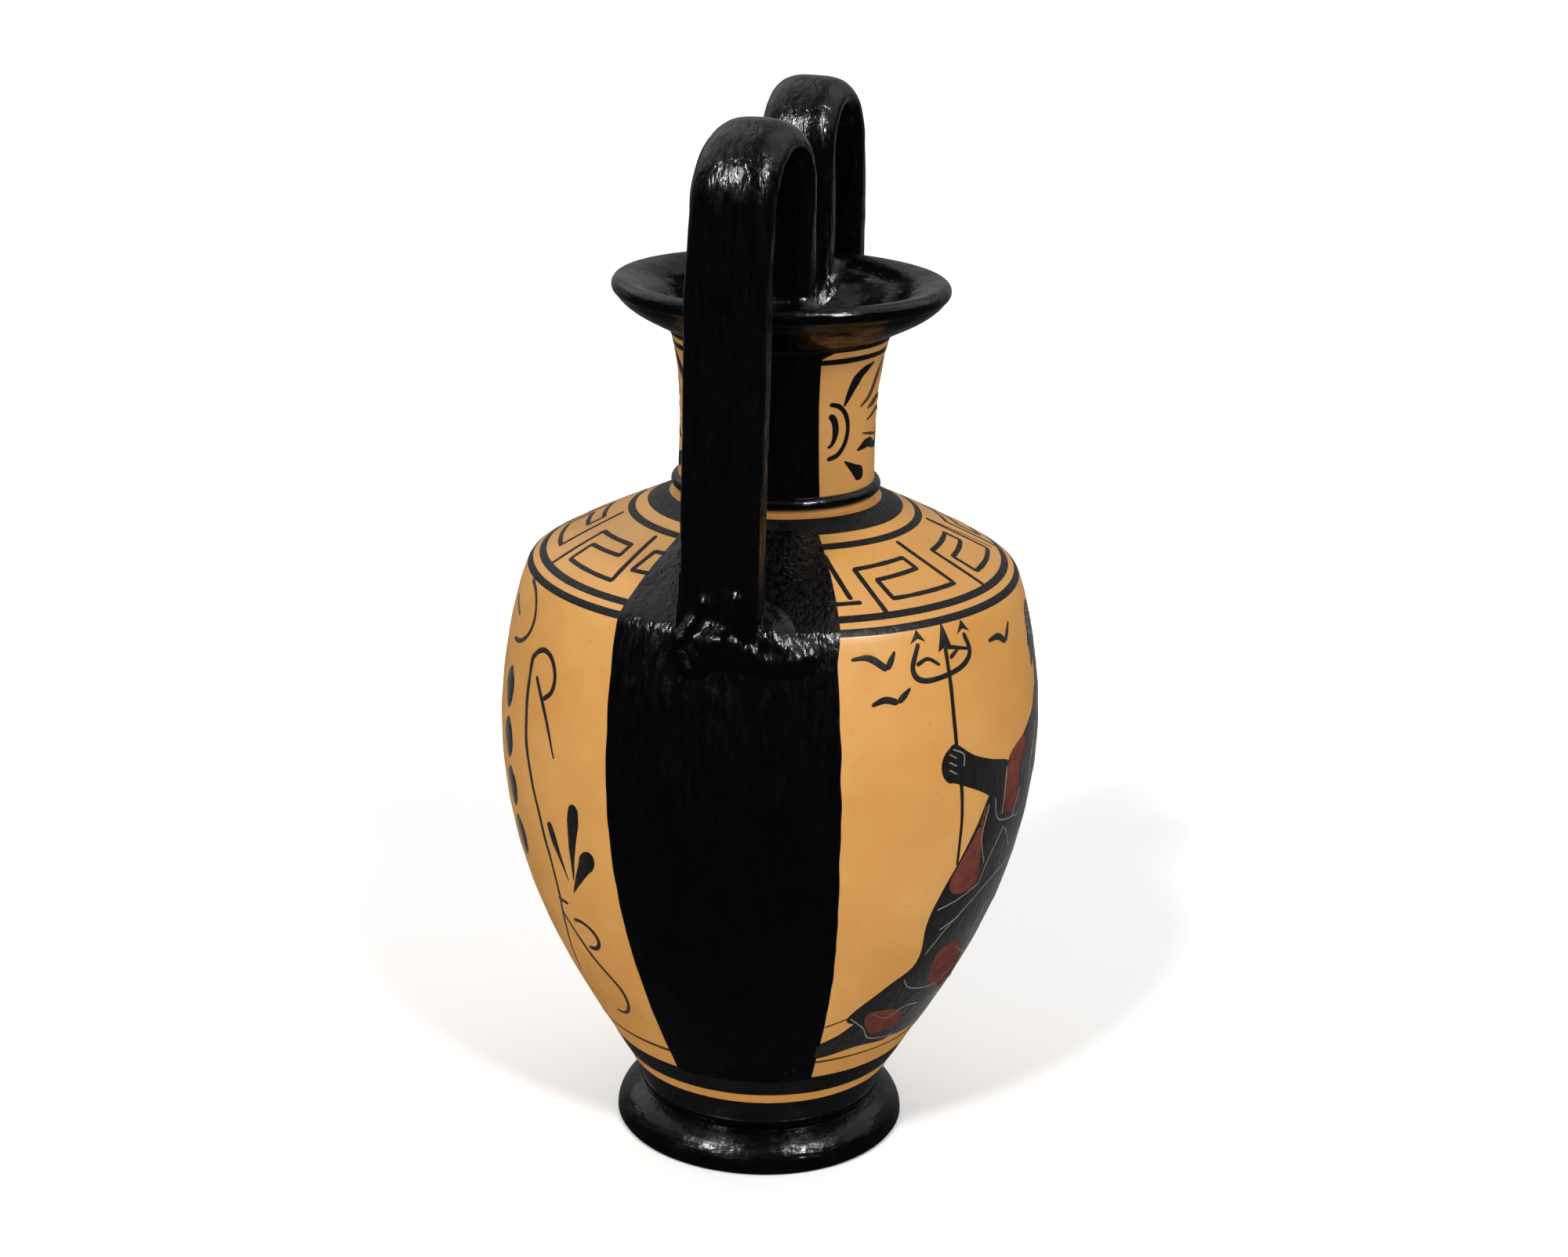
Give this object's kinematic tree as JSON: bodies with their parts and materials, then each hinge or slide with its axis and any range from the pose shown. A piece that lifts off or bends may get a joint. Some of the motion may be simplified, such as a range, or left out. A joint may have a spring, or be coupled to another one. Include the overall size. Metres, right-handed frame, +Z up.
{
  "type": "amphora",
  "caption": "Two-handled ovoid clay jar on a ring foot, with a narrow neck, a wide dished mouth and tall strap handles that loop over the rim; painted in black on a clay ground.",
  "frame": {"origin": "centre of the foot's underside, on the surface the jar stands on", "axes": "+Z up along the jar's axis; handles at -X and +X; the main painted side faces -Y"},
  "size_m": [0.1392, 0.1392, 0.2746],
  "materials": {
    "painted_clay": "fired clay with a thin warm slip, satin",
    "black_glaze": "black semi-gloss glaze, brushed by hand"
  },
  "bodies": {
    "root": {"foot": "black_glaze", "body": "painted_clay", "neck": "painted_clay", "neck_ring": "black_glaze", "mouth": "black_glaze", "left_handle": "black_glaze", "right_handle": "black_glaze", "left_lower_coil": "black_glaze", "right_lower_coil": "black_glaze", "left_upper_coil": "black_glaze", "right_upper_coil": "black_glaze"}
  },
  "joints": []
}
